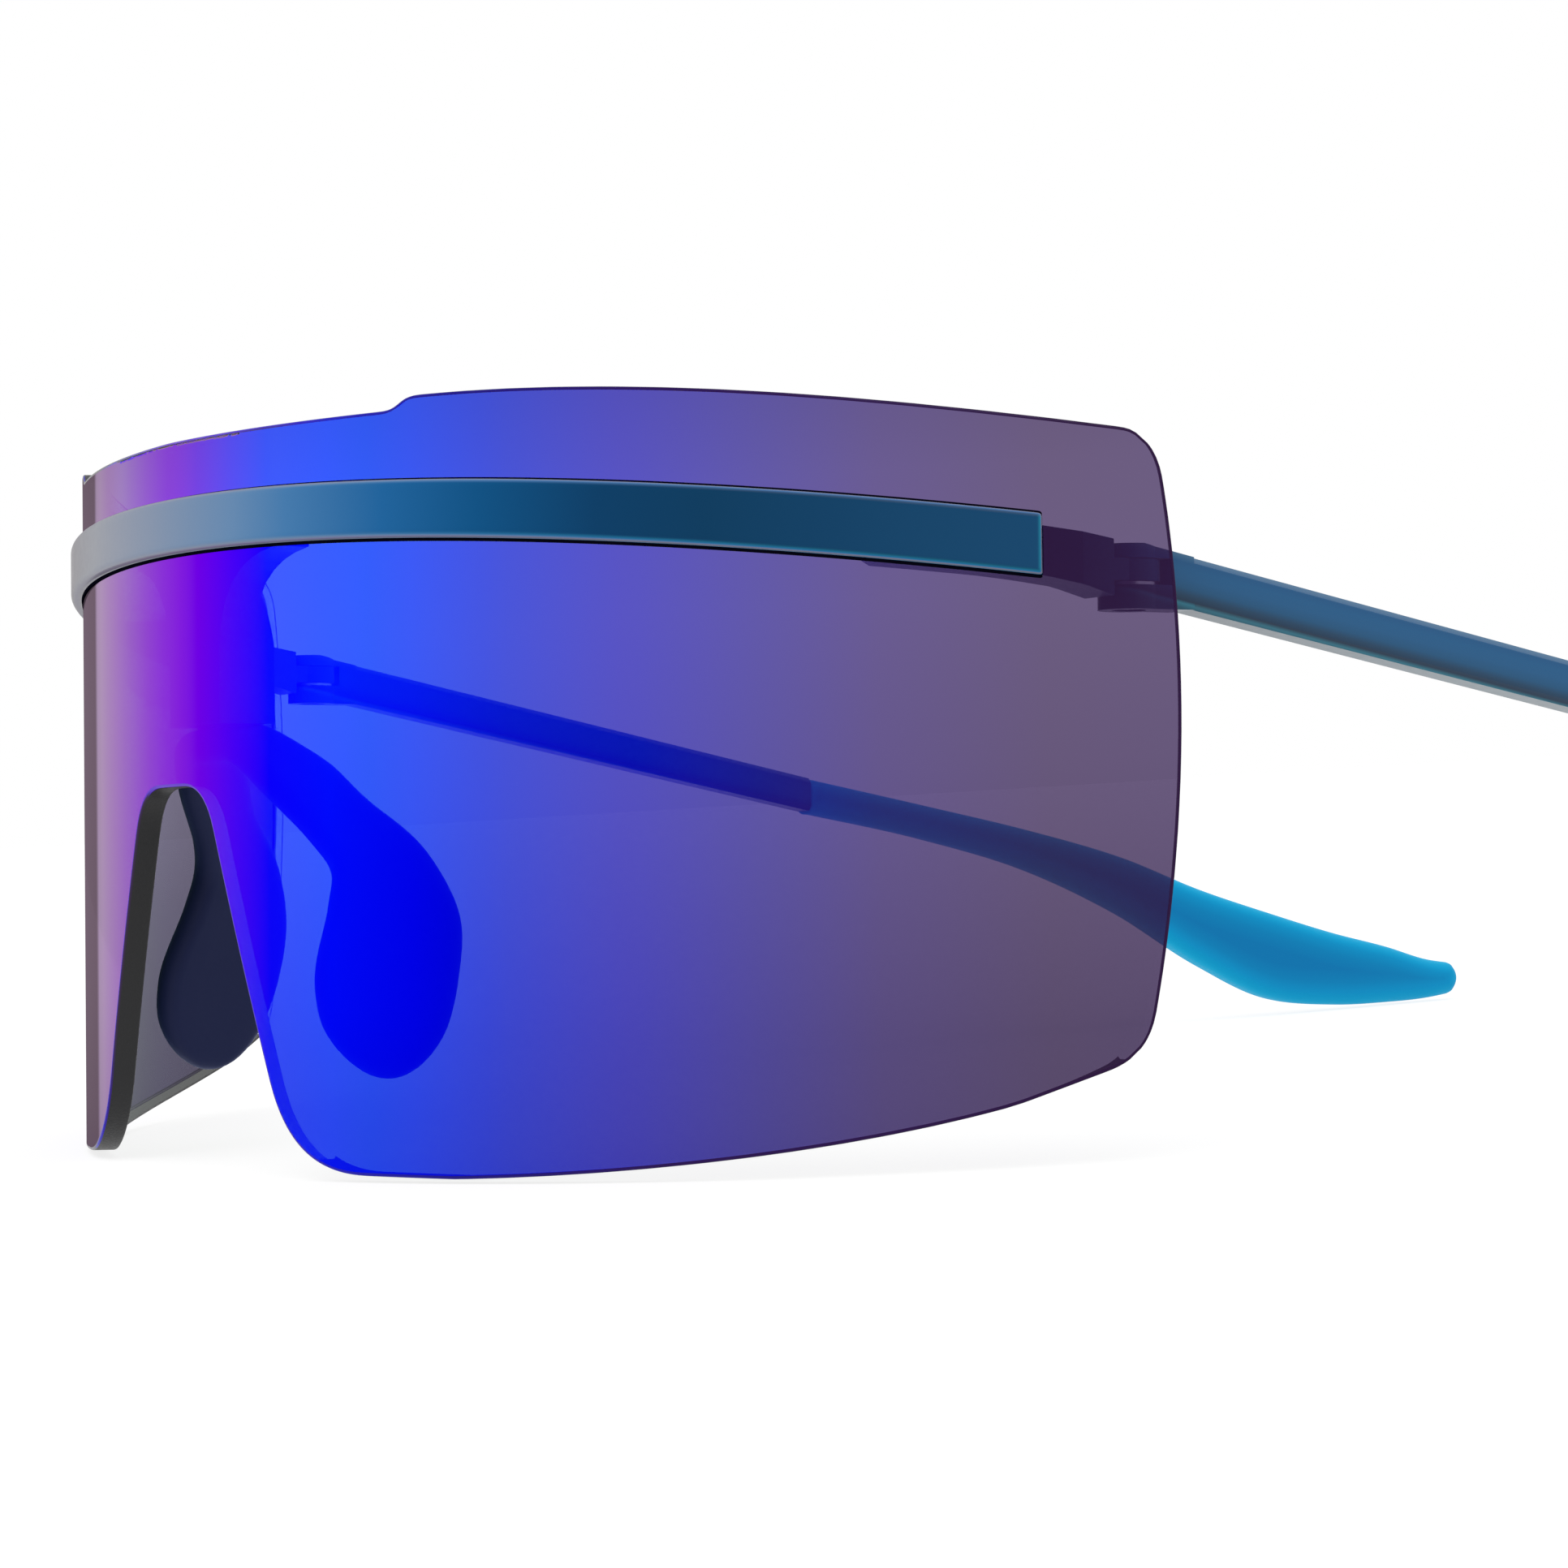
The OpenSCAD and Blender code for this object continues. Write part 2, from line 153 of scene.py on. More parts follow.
def ramp(tree, value, stops, lowest, highest):
    """Colour by value: stops are (value, colour) in rising order, between lowest and highest."""
    scale = node(tree, "MapRange")
    scale.inputs["From Min"].default_value, scale.inputs["From Max"].default_value = lowest, highest
    tree.links.new(value, scale.inputs["Value"])
    r = node(tree, "ValToRGB")
    for i, (at, colour) in enumerate(stops):
        e = r.color_ramp.elements[i] if i < 2 else r.color_ramp.elements.new(1)
        e.position = (at - lowest) / (highest - lowest)
        e.color = (*colour, 1)
    tree.links.new(scale.outputs["Result"], r.inputs["Fac"])
    return r.outputs["Color"]


def grain(tree, shader, scale, height, rough, stretch=(1, 1, 1)):
    """Fine moulded grain: a bump of that height in metres, and roughness that plays between two values."""
    at = node(tree, "TexCoord")
    size = node(tree, "Mapping")
    size.inputs["Scale"].default_value = stretch
    noise = node(tree, "TexNoise")
    noise.inputs["Scale"].default_value, noise.inputs["Detail"].default_value = scale, 3
    bump = node(tree, "Bump")
    bump.inputs["Distance"].default_value = height
    bump.inputs["Strength"].default_value = 1
    tree.links.new(at.outputs["Object"], size.inputs["Vector"])
    tree.links.new(size.outputs["Vector"], noise.inputs["Vector"])
    tree.links.new(noise.outputs["Fac"], bump.inputs["Height"])
    tree.links.new(bump.outputs["Normal"], shader.inputs["Normal"])
    play = node(tree, "MapRange")
    play.inputs["To Min"].default_value, play.inputs["To Max"].default_value = rough
    tree.links.new(noise.outputs["Fac"], play.inputs["Value"])
    tree.links.new(play.outputs["Result"], shader.inputs["Roughness"])


def mix_colour(tree, share, first, second, blend="MIX"):
    """Colour between two colours, each a link or a plain colour; the share is a link or a number."""
    mix = node(tree, "Mix", data_type="RGBA", blend_type=blend)
    for socket, value in ((mix.inputs[0], share), (mix.inputs[6], first), (mix.inputs[7], second)):
        if isinstance(value, bpy.types.NodeSocket):
            tree.links.new(value, socket)
        else:
            socket.default_value = (*value, 1) if isinstance(value, tuple) else value
    return mix.outputs[2]


def share_between(tree, value, low, high):
    """Share from 0 to 1 as the value goes smoothly from low to high."""
    share = node(tree, "MapRange", interpolation_type="SMOOTHSTEP")
    share.inputs["From Min"].default_value, share.inputs["From Max"].default_value = low, high
    tree.links.new(value, share.inputs["Value"])
    return share.outputs["Result"]


def greys(*stops):
    """Grey stops for a ramp, from pairs of a value and a shade."""
    return [(at, (shade,) * 3) for at, shade in stops]


def product(tree, first, second):
    """Product of two linked values."""
    times = node(tree, "Math", operation="MULTIPLY")
    tree.links.new(first, times.inputs[0])
    tree.links.new(second, times.inputs[1])
    return times.outputs[0]


def clear(tree, colour=(1, 1, 1)):
    """Transparent shader of a colour, which is a link or a plain colour."""
    shader = node(tree, "BsdfTransparent")
    if isinstance(colour, bpy.types.NodeSocket):
        tree.links.new(colour, shader.inputs["Color"])
    else:
        shader.inputs["Color"].default_value = (*colour, 1)
    return shader


def attribute(tree, name):
    return node(tree, "Attribute", attribute_name=name).outputs["Fac"]


def facing(tree):
    return node(tree, "LayerWeight").outputs["Facing"]


def height_along(tree, origin, up):
    """Height of the surface above a line, given a point on it and the way up from it, in metres."""
    place = node(tree, "TexCoord")
    off = node(tree, "VectorMath", operation="SUBTRACT")
    off.inputs[1].default_value = origin
    dot = node(tree, "VectorMath", operation="DOT_PRODUCT")
    dot.inputs[1].default_value = up
    tree.links.new(place.outputs["Object"], off.inputs[0])
    tree.links.new(off.outputs[0], dot.inputs[0])
    return dot.outputs["Value"]


def place_of(tree):
    """Distance from the middle plane, and height, of the surface, in metres."""
    place = node(tree, "TexCoord")
    split = node(tree, "SeparateXYZ")
    side = node(tree, "Math", operation="ABSOLUTE")
    tree.links.new(place.outputs["Object"], split.inputs["Vector"])
    tree.links.new(split.outputs["X"], side.inputs[0])
    return side.outputs[0], split.outputs["Z"]


def own_material(name):
    """New material without a shader yet: its node tree and its output's surface socket."""
    m = bpy.data.materials.new(name)
    m.use_nodes = True
    m.node_tree.nodes.clear()
    return m, m.node_tree, node(m.node_tree, "OutputMaterial").inputs["Surface"]


def seen_from(tree, front, back):
    """Shader that is one on the front side of the surface and the other on its back side."""
    choose = node(tree, "MixShader")
    tree.links.new(node(tree, "NewGeometry").outputs["Backfacing"], choose.inputs[0])
    tree.links.new(front.outputs[0], choose.inputs[1])
    tree.links.new(back.outputs[0], choose.inputs[2])
    return choose


def mirror_coat():
    """Blue mirror coat on the lens's outer face, with painted reflection: what it mirrors goes by the place
    on the wrap, violet over the nose and smoky grey at the ends, plus pink sheen at grazing angles, over
    smoky tinted clear plastic."""
    m, tree, surface = own_material("lens_mirror_coat")
    side, z = place_of(tree)
    turned = facing(tree)
    # painted reflection: the colour the coat mirrors changes by the place on the wrap, darker towards the
    # ends
    mirrored = ramp(tree, side, [
        (0, (0.25, 0.02, 0.70)), (0.005, (0.155, 0.0, 0.78)), (0.0105, (0.06, 0.0, 0.92)),
        (0.015, (0.003, 0.0, 0.99)), (0.022, (0.0, 0.002, 1.0)), (0.030, (0.0, 0.0, 0.86)),
        (0.038, (0.0, 0.0, 0.60)), (0.047, (0.0, 0.0, 0.41)), (0.054, (0.008, 0.003, 0.21)),
        (0.060, (0.02, 0.007, 0.085)), (0.067, (0.026, 0.010, 0.045))], 0, HALF_W)
    passed = ramp(tree, side, [
        (0, (0.03, 0.04, 0.04)), (0.016, (0.05, 0.11, 0.05)), (0.026, (0.036, 0.11, 0.05)),
        (0.036, (0.06, 0.093, 0.10)), (0.046, (0.10, 0.09, 0.12)), (0.054, (0.115, 0.098, 0.19)),
        (0.060, (0.125, 0.10, 0.205)), (0.067, (0.125, 0.10, 0.175))], 0, HALF_W)
    # painted shade: past a facing of 0.845 the sheen drops to dark grey, for the dark limb of the thick
    # plastic
    sheen = ramp(tree, turned, [
        (0.60, (0.22, 0.01, 0.72)), (0.64, (0.25, 0.03, 0.68)), (0.677, (0.28, 0.06, 0.62)),
        (0.72, (0.315, 0.115, 0.56)), (0.772, (0.375, 0.20, 0.51)), (0.825, (0.42, 0.285, 0.475)),
        (0.845, (0.39, 0.28, 0.43)), (0.858, (0.16, 0.11, 0.15)), (0.93, (0.17, 0.12, 0.16))], 0.5, 1)
    mirrored = mix_colour(tree, share_between(tree, turned, 0.57, 0.63), mirrored, sheen)
    # towards the limb less and less light passes, because the inner face sends it all back
    passed = mix_colour(tree, share_between(tree, turned, 0.73, 0.80), passed, (0.004, 0.003, 0.004))
    # painted shade: what the lens mirrors and lets through is a little darker near its lower and upper edges
    depth = ramp(tree, z, greys((0, 0.77), (0.012, 0.91), (0.034, 1), (0.044, 1), (0.052, 0.86)), 0, HEIGHT)
    passed_shade = ramp(tree, z, greys((0, 0.56), (0.009, 0.60), (0.015, 0.70), (0.025, 0.88), (0.036, 1),
                                (0.044, 1), (0.052, 0.86)), 0, HEIGHT)
    glossy = node(tree, "BsdfAnisotropic")
    glossy.inputs["Roughness"].default_value = 0.06
    tree.links.new(mix_colour(tree, 1, mirrored, depth, "MULTIPLY"), glossy.inputs["Color"])
    passed = mix_colour(tree, 1, passed, passed_shade, "MULTIPLY")
    both = node(tree, "AddShader")
    tree.links.new(glossy.outputs[0], both.inputs[0])
    tree.links.new(clear(tree, passed).outputs[0], both.inputs[1])
    tree.links.new(seen_from(tree, both, clear(tree, passed)).outputs[0], surface)
    return m


def lens_inside():
    """The lens's uncoated inner face: clear, with a weak gloss at its front side."""
    m, tree, surface = own_material("lens_inner_face")
    _, z = place_of(tree)
    gloss = node(tree, "BsdfAnisotropic")
    gloss.inputs["Roughness"].default_value = 0.05
    # painted shade: the gloss is darker towards the bottom of the lens
    shade = ramp(tree, z, [(0, (0.24, 0.27, 0.26)), (0.018, (0.34, 0.37, 0.35)), (0.034, (0.6, 0.61, 0.6)),
                           (0.052, (0.6, 0.6, 0.6))], 0, HEIGHT)
    tree.links.new(shade, gloss.inputs["Color"])
    front = node(tree, "MixShader")
    share = node(tree, "Fresnel")
    share.inputs["IOR"].default_value = 1.45
    tree.links.new(share.outputs[0], front.inputs[0])
    tree.links.new(clear(tree, (0.97, 0.97, 0.97)).outputs[0], front.inputs[1])
    tree.links.new(gloss.outputs[0], front.inputs[2])
    tree.links.new(seen_from(tree, front, clear(tree)).outputs[0], surface)
    return m


def lens_wall(name, inside):
    """Cut wall of the lens: dark, with fine tool marks. From inside the plastic it is one of three: a pale
    painted glow that stands in for light coming through the wall, clear, or dim."""
    m, tree, surface = own_material(name)
    wall_shader = node(tree, "BsdfPrincipled")
    wall_shader.inputs["Base Color"].default_value = (0.018, 0.018, 0.019, 1)
    wall_shader.inputs["Specular IOR Level"].default_value = 0.2
    grain(tree, wall_shader, 1500, 0.00004, (0.25, 0.6), (4, 4, 0.6))
    if inside == "glow":
        # painted glow: a pale back face where light through the wall shows
        back = node(tree, "BsdfDiffuse")
        back.inputs["Color"].default_value = (0.8, 0.8, 0.85, 1)
    else:
        back = clear(tree) if inside == "clear" else clear(tree, (0.11, 0.11, 0.11))
    tree.links.new(seen_from(tree, wall_shader, back).outputs[0], surface)
    return m


def lens_bevel():
    """Narrow polished bevel between the lens's outer face and its wall, in the coat's colours but deeper:
    partly the coat's colour and partly painted reflection, with painted shade at grazing angles and in the
    notch.
    """
    m, tree, shader = material("lens_bevel", (0.02, 0.01, 0.05), 0.2, Specular_IOR_Level=0.1)
    side, _ = place_of(tree)
    turned = facing(tree)
    # partly painted reflection: the bevel's colour follows what the coat mirrors along the wrap
    body = ramp(tree, side, [(0, (0.09, 0.0, 0.52)), (0.012, (0.035, 0.0, 0.48)), (0.022, (0.003, 0.0, 0.40)),
                             (0.034, (0.006, 0.0, 0.18)), (0.048, (0.016, 0.001, 0.07)),
                             (0.07, (0.018, 0.003, 0.035))], 0, HALF_W)
    # painted shade: dark at grazing angles
    body = mix_colour(tree, share_between(tree, turned, 0.78, 0.86), body, (0.012, 0.008, 0.016))
    # painted shade: the bevel of the notch's wall is darker where it is seen face-on
    in_notch = product(tree, share_between(tree, side, 0.020, 0.013), share_between(tree, turned, 0.62, 0.42))
    body = mix_colour(tree, in_notch, body, (0.035, 0.02, 0.055))
    tree.links.new(body, shader.inputs["Base Color"])
    grain(tree, shader, 2500, 0.000004, (0.15, 0.28))
    return m


def bar_nylon():
    """Satin teal nylon of the brow bar, with painted sheen and shade: paler the more it turns away; a painted
    glow of light through its clear teal lower edges and ends, and a painted highlight on its upper edge."""
    m, tree, shader = material("teal_nylon", (0.008, 0.07, 0.16), 0.3, Specular_IOR_Level=0.06)
    # painted sheen and shade: the base colour follows the viewing angle, paler as the bar turns away, darker
    # at the limb
    body = ramp(tree, facing(tree), [
        (0, (0.006, 0.052, 0.127)), (0.05, (0.003, 0.042, 0.108)), (0.10, (0.001, 0.036, 0.094)),
        (0.16, (0.0, 0.038, 0.110)), (0.243, (0.0, 0.068, 0.192)), (0.325, (0.006, 0.102, 0.28)),
        (0.43, (0.042, 0.160, 0.35)), (0.50, (0.10, 0.205, 0.365)), (0.64, (0.18, 0.232, 0.33)),
        (0.72, (0.215, 0.243, 0.312)), (0.80, (0.235, 0.245, 0.28)), (0.92, (0.15, 0.14, 0.16))], 0, 1)
    edge = attribute(tree, "edge")
    # painted glow: light through the clear teal lower edge and the ends, shown where the bar is seen face-on
    lower = ramp(tree, edge, [(0, (0.02, 0.27, 0.36)), (0.10, (0.016, 0.20, 0.30)),
                              (0.28, (0.008, 0.08, 0.16)), (0.5, (0.005, 0.05, 0.12))], 0, 0.5)
    painted_glow_share = ramp(tree, edge, greys((0, 0.8), (0.12, 0.55), (0.3, 0)), 0, 0.5)
    # painted highlight along the upper edge
    painted_highlight_share = ramp(tree, attribute(tree, "upper"), greys((0, 0.45), (0.12, 0.3), (0.34, 0)), 0, 0.5)
    line = product(tree, painted_glow_share, share_between(tree, facing(tree), 0.5, 0.2))
    body = mix_colour(tree, line, body, lower)
    body = mix_colour(tree, painted_highlight_share, body, (0.13, 0.17, 0.26))
    tree.links.new(body, shader.inputs["Base Color"])
    grain(tree, shader, 1800, 0.000002, (0.26, 0.36))
    return m


def temple_nylon():
    """Satin teal nylon of the arms, with painted light by height: a painted highlight along the top bevel,
    painted shade along the lower one, a painted glow in a clear teal line under it, and a painted grey sheen
    at grazing angles."""
    m, tree, shader = material("teal_nylon_temple", (0.010, 0.09, 0.215), 0.34, Specular_IOR_Level=0.25)
    start, over = standing([[0, PIN_Y, ARM_TOP], [0, PIN_Y + ARM_FALL, ARM_TOP + 1]])
    up = Vector(over - start).normalized()
    height = height_along(tree, Vector(start), up)
    # painted light by height across the arm: pale at the top, dark along the lower bevel, a teal glow line
    # under it
    body = ramp(tree, height, [
        (-0.0034, (0.012, 0.07, 0.11)), (-0.0031, (0.022, 0.14, 0.20)), (-0.0029, (0.009, 0.028, 0.06)),
        (-0.0025, (0.011, 0.045, 0.095)), (-0.0021, (0.010, 0.070, 0.16)), (-0.0015, (0.011, 0.082, 0.195)),
        (-0.0009, (0.010, 0.083, 0.20)), (-0.0005, (0.009, 0.075, 0.19)), (-0.0003, (0.022, 0.095, 0.205)),
        (0.0, (0.05, 0.13, 0.23))], -0.0035, 0.0005)
    # painted sheen: grey at grazing angles
    body = mix_colour(tree, share_between(tree, facing(tree), 0.6, 0.95), body, (0.22, 0.24, 0.26))
    tree.links.new(body, shader.inputs["Base Color"])
    grain(tree, shader, 1800, 0.000003, (0.28, 0.4))
    return m


def hinge_nylon():
    """Satin teal nylon of the stem and the endpieces, behind the lens, with a painted sheen: paler the more
    it turns away.
    """
    m, tree, shader = material("teal_nylon_inner", (0.008, 0.06, 0.14), 0.34, Specular_IOR_Level=0.2)
    # painted sheen: paler the more it turns away
    body = ramp(tree, facing(tree), [(0, (0.007, 0.052, 0.125)), (0.5, (0.012, 0.075, 0.16)),
                                     (0.8, (0.08, 0.14, 0.21)), (1, (0.16, 0.2, 0.25))], 0, 1)
    tree.links.new(body, shader.inputs["Base Color"])
    grain(tree, shader, 1800, 0.000003, (0.28, 0.42))
    return m


def navy_rubber():
    """Matt navy rubber of the nosepiece, with a painted sheen: paler the more it turns away."""
    m, tree, shader = material("navy_rubber", (0.008, 0.012, 0.038), 0.55, Specular_IOR_Level=0.1)
    # painted sheen: paler the more it turns away
    body = ramp(tree, facing(tree), [(0, (0.009, 0.013, 0.050)), (0.45, (0.010, 0.015, 0.055)),
                                     (0.85, (0.026, 0.036, 0.105)), (1, (0.06, 0.075, 0.16))], 0, 1)
    tree.links.new(body, shader.inputs["Base Color"])
    grain(tree, shader, 3000, 0.00001, (0.48, 0.66))
    return m


def cyan_rubber():
    """Soft cyan rubber, with painted light: paler where it is thin at its edges, for light through the
    rubber.
    """
    m, tree, shader = material("cyan_rubber", (0.0, 0.18, 0.42), 0.5, Specular_IOR_Level=0.08)
    # painted light: paler near the edges and the end of the tip, for light through the thin rubber
    body = ramp(tree, attribute(tree, "edge"), [
        (0, (0.0, 0.37, 0.62)), (0.35, (0.0, 0.31, 0.56)), (1.2, (0.0, 0.235, 0.48)),
        (2.2, (0.0, 0.185, 0.41)), (3.5, (0.0, 0.155, 0.375))], 0, 4)
    tree.links.new(body, shader.inputs["Base Color"])
    grain(tree, shader, 2200, 0.000006, (0.42, 0.58))
    return m


def turned_metal(name, colour):
    m, tree, shader = material(name, colour, 0.3, Metallic=1.0)
    grain(tree, shader, 900, 0.000006, (0.2, 0.4), (1, 1, 8))
    return m


def seat_shadow():
    """Painted shadow: a dark line where the bar meets the lens, for the bar's shadow and its dark reflection
    in the lens.
    """
    m, tree, shader = material("bar_painted_shadow_line", (0.002, 0.002, 0.006), 0.6, Specular_IOR_Level=0.0)
    grain(tree, shader, 2500, 0.000004, (0.5, 0.7))
    return m


MIRROR, INSIDE, BEVEL = mirror_coat(), lens_inside(), lens_bevel()
WALL_GLOW, WALL_CLEAR = lens_wall("lens_wall_glow", "glow"), lens_wall("lens_wall_clear", "clear")
WALL = lens_wall("lens_wall", "dim")
NYLON, TEMPLE, HINGE_NYLON, PAINTED_SEAT_SHADOW = bar_nylon(), temple_nylon(), hinge_nylon(), seat_shadow()
NAVY, CYAN = navy_rubber(), cyan_rubber()
STEEL = turned_metal("screw_steel", (0.55, 0.56, 0.58))
BRASS = turned_metal("hinge_brass", (0.62, 0.45, 0.18))

# ---------------------------------------------------------------- shield lens
# angles along the plan ellipse, and the distance along it from its middle at each of them
SPAN = np.radians(np.linspace(-80, 80, 6401))
ARC = path_length(np.stack([A * np.sin(SPAN), B * (1 - np.cos(SPAN))], 1))
ARC -= ARC[len(ARC) // 2]


def arc_at_x(x):
    return np.interp(np.arcsin(np.clip(np.asarray(x) / A, -1, 1)), SPAN, ARC)


def arc_at_y(y):
    return np.interp(np.arccos(1 - np.asarray(y) / B), SPAN, ARC)


def wall_normal(t):
    """Way straight out of the lens wall in plan, at an angle."""
    n = np.stack([np.sin(t) / A, -np.cos(t) / B], -1)
    return n / np.linalg.norm(n, axis=-1, keepdims=True)


def wall(t, out):
    """Plan point of the lens wall at an angle, that far out from its outer face."""
    return np.stack([A * np.sin(t), B * (1 - np.cos(t))], -1) + np.asarray(out)[..., None] * wall_normal(t)


def lens_outline():
    """Closed outline of the lens on its unrolled outer face: arc length and height, from the notch round."""
    bottom = np.concatenate([
        [[0, NOTCH_TOP]], curve([2.4, NOTCH_TOP], [6, NOTCH_TOP], [7.3, 23.2]),
        curve([14.9, 5.7], [17.7, 0], [25.2, 0]), curve([33.5, 0], [56, 0.9], [65.5, 5]),
        curve([65.5, 5], [68.4, 6.6], [78, 13.2])])
    low, high = LENS_TOP + LENS_STEP / 2 - 0.1, LENS_TOP + LENS_STEP
    top = np.concatenate([
        [[0, LENS_TOP]], curve([27.4, LENS_TOP - 0.25], [28.6, LENS_TOP - 0.3], [29.1, low]),
        curve([29.1, low], [29.5, high], [30.6, high]),
        curve([30.6, high], [53.5, high - 0.25], [70, LENS_TOP - 4.1]), [[78, LENS_TOP - 6.4]]])
    end = np.concatenate([
        [[34, -5], [34.6, 6.9]], curve([35.2, 7.5], [36.7, 8.4], [37.1, 10.6]),
        curve([37.1, 10.6], [2 * LENS_BACK - 37.5, 28], [37.8, 44.3]),
        curve([37.8, 44.3], [37.5, 46.3], [36.3, 47.1]), [[36, 80]]])
    sides = []
    for points in (bottom, top):
        x = np.arange(0, 78, 0.05)
        sides.append(np.stack([arc_at_x(x), np.interp(x, points[:, 0], points[:, 1])], 1))
    z = np.arange(0, LENS_TOP + 1, 0.05)
    end = np.stack([np.interp(z, end[:, 1], arc_at_y(end[:, 0])), z], 1)
    inside = [s[s[:, 0] < np.interp(s[:, 1], end[:, 1], end[:, 0])] for s in sides]
    end = end[(end[:, 1] > inside[0][-1, 1]) & (end[:, 1] < inside[1][-1, 1])]
    half = np.concatenate([inside[0], end, inside[1][::-1]])
    loop = np.concatenate([half, (half * [-1, 1])[-2:0:-1]])
    length = path_length(np.vstack([loop, loop[:1]]))
    n = int(length[-1] / 0.1)
    at = np.linspace(0, length[-1], n, endpoint=False)
    loop = np.stack([np.interp(at, length, np.append(loop[:, i], loop[0, i])) for i in (0, 1)], 1)
    reach = np.arange(-20, 21)
    weights = np.exp(-0.5 * (reach / 5) ** 2)
    return sum(w * np.roll(loop, -k, axis=0) for k, w in zip(reach, weights)) / weights.sum()


def build_lens():
    loop = lens_outline()
    tangent = np.roll(loop, -2, axis=0) - np.roll(loop, 2, axis=0)
    inward = np.stack([-tangent[:, 1], tangent[:, 0]], 1) / np.linalg.norm(tangent, axis=1, keepdims=True)
    n = len(loop)
    low_right, top_right, top_left, low_left = (
        int(np.argmax(loop @ d)) for d in ([1, -0.8], [1, 0.8], [-1, 0.8], [-1, -0.8]))

    def run(first, last):
        """Indices of the outline from one point on to another."""
        count = (last - first) % n
        return (first + np.arange(count + 1)) % n

    def pick(indices, axis, wanted):
        """Indices along a run where its coordinate comes nearest to the wanted values."""
        have = loop[indices][:, axis]
        order = np.argsort(have)
        found = np.searchsorted(have[order], wanted)
        return indices[order[np.clip(found, 0, len(order) - 1)]]

    def spacing(s):
        """Step between two columns: finer by the notch, at the top's step and at the ends."""
        return 0.4 if s < 27 else 0.3 if s < 34 else 1.2 if s < 74 else 0.4

    places = [0.0]
    while places[-1] < loop[low_right, 0] - 0.6:
        places.append(places[-1] + spacing(places[-1]))
    places = np.array(places[:-1] + [loop[low_right, 0]])
    places = np.concatenate([-places[:0:-1], places])
    rows = 0.5 - 0.5 * np.cos(np.linspace(0, np.pi, 40))
    bottom = pick(run(low_left, low_right), 0, places)
    top = pick(run(top_right, top_left), 0, places * loop[top_right, 0] / loop[low_right, 0])
    heights = loop[low_right, 1] + rows * (loop[top_right, 1] - loop[low_right, 1])
    right = pick(run(low_right, top_right), 1, heights)
    left = pick(run(top_left, low_left), 1, heights)
    bottom[0], bottom[-1], top[0], top[-1] = low_left, low_right, top_left, top_right
    right[0], right[-1], left[0], left[-1] = low_right, top_right, low_left, top_left
    boundary = np.concatenate([bottom, right[1:], top[-2::-1], left[-2:0:-1]])
    # edge profile: inset from the outline and depth behind the outer face, with the material of each strip
    profile = [(0.22, 0), (0.11, 0.015), (0.03, 0.06), (0, 0.14), (0, 0.45), (0, 0.75), (0, 1.2)]
    profile += [(inset, LENS_T - depth) for inset, depth in profile[3::-1]]
    # strips in the notch, along the lower edge and elsewhere: only the notch's wall has the painted glow, and
    # the others let light through behind their front part
    strips = [(3, 3, 3)] * 3 + [(4, 1, 1)] + [(4, 1, 5)] * 2 + [(5, 1, 5)] * 4
    in_notch = (np.abs(loop[boundary, 0]) < 20) & (loop[boundary, 1] < NOTCH_TOP + 1)
    below = (np.abs(loop[boundary, 0]) < loop[low_right, 0] - 1) & (loop[boundary, 1] < NOTCH_TOP)
    end = np.abs(loop[:, 0]).max()

    def on_lens(points, depth):
        """Points of the unrolled outer face, that deep in the lens; the end cuts run straight across."""
        s = points[..., 0]
        n = wall_normal(np.interp(s, ARC, SPAN))
        w = np.clip(1 - (end - np.abs(s)) / 8, 0, 1)
        across = np.where(w > 0, n[..., 0], 1)
        t = np.interp(s + w * w * (3 - 2 * w) * depth * n[..., 1] / across, ARC, SPAN)
        return np.concatenate([wall(t, np.full(t.shape, -0.02 - depth)), points[..., 1:]], -1)

    bm = bmesh.new()
    rings = np.stack([on_lens(loop[boundary] + inset * inward[boundary], depth) for inset, depth in profile])
    for i, (notch, low, other) in enumerate(strips):
        add_grid(bm, rings[i:i + 2], np.where(in_notch, notch, np.where(below, low, other)), closed=True)
    u = (places - places[0]) / (places[-1] - places[0])
    for (inset, depth), slot in ((profile[0], 0), (profile[-1], 2)):
        b, t, l, r = (loop[i] + inset * inward[i] for i in (bottom, top, left, right))
        v, w = rows[:, None, None], u[None, :, None]
        patch = (1 - v) * b[None] + v * t[None] + (1 - w) * l[:, None] + w * r[:, None]
        patch -= (1 - w) * (1 - v) * b[0] + w * (1 - v) * b[-1] + (1 - w) * v * t[0] + w * v * t[-1]
        add_grid(bm, on_lens(patch, depth), slot)
    keep(bm, "lens_shell", "front", "shield_lens",
         [MIRROR, WALL, INSIDE, BEVEL, WALL_GLOW, WALL_CLEAR])


build_lens()


# ---------------------------------------------------------------- brow bar
def bar_z(y):
    return BAR_Z - y * math.tan(BAR_FALL)


def set_values(bm, name, values, others):
    """Gives the first vertices a named number each, for the material, and all others the same one."""
    layer = bm.verts.layers.float.new(name)
    values = np.ravel(values)
    for i, v in enumerate(bm.verts):
        v[layer] = float(values[i]) if i < len(values) else others


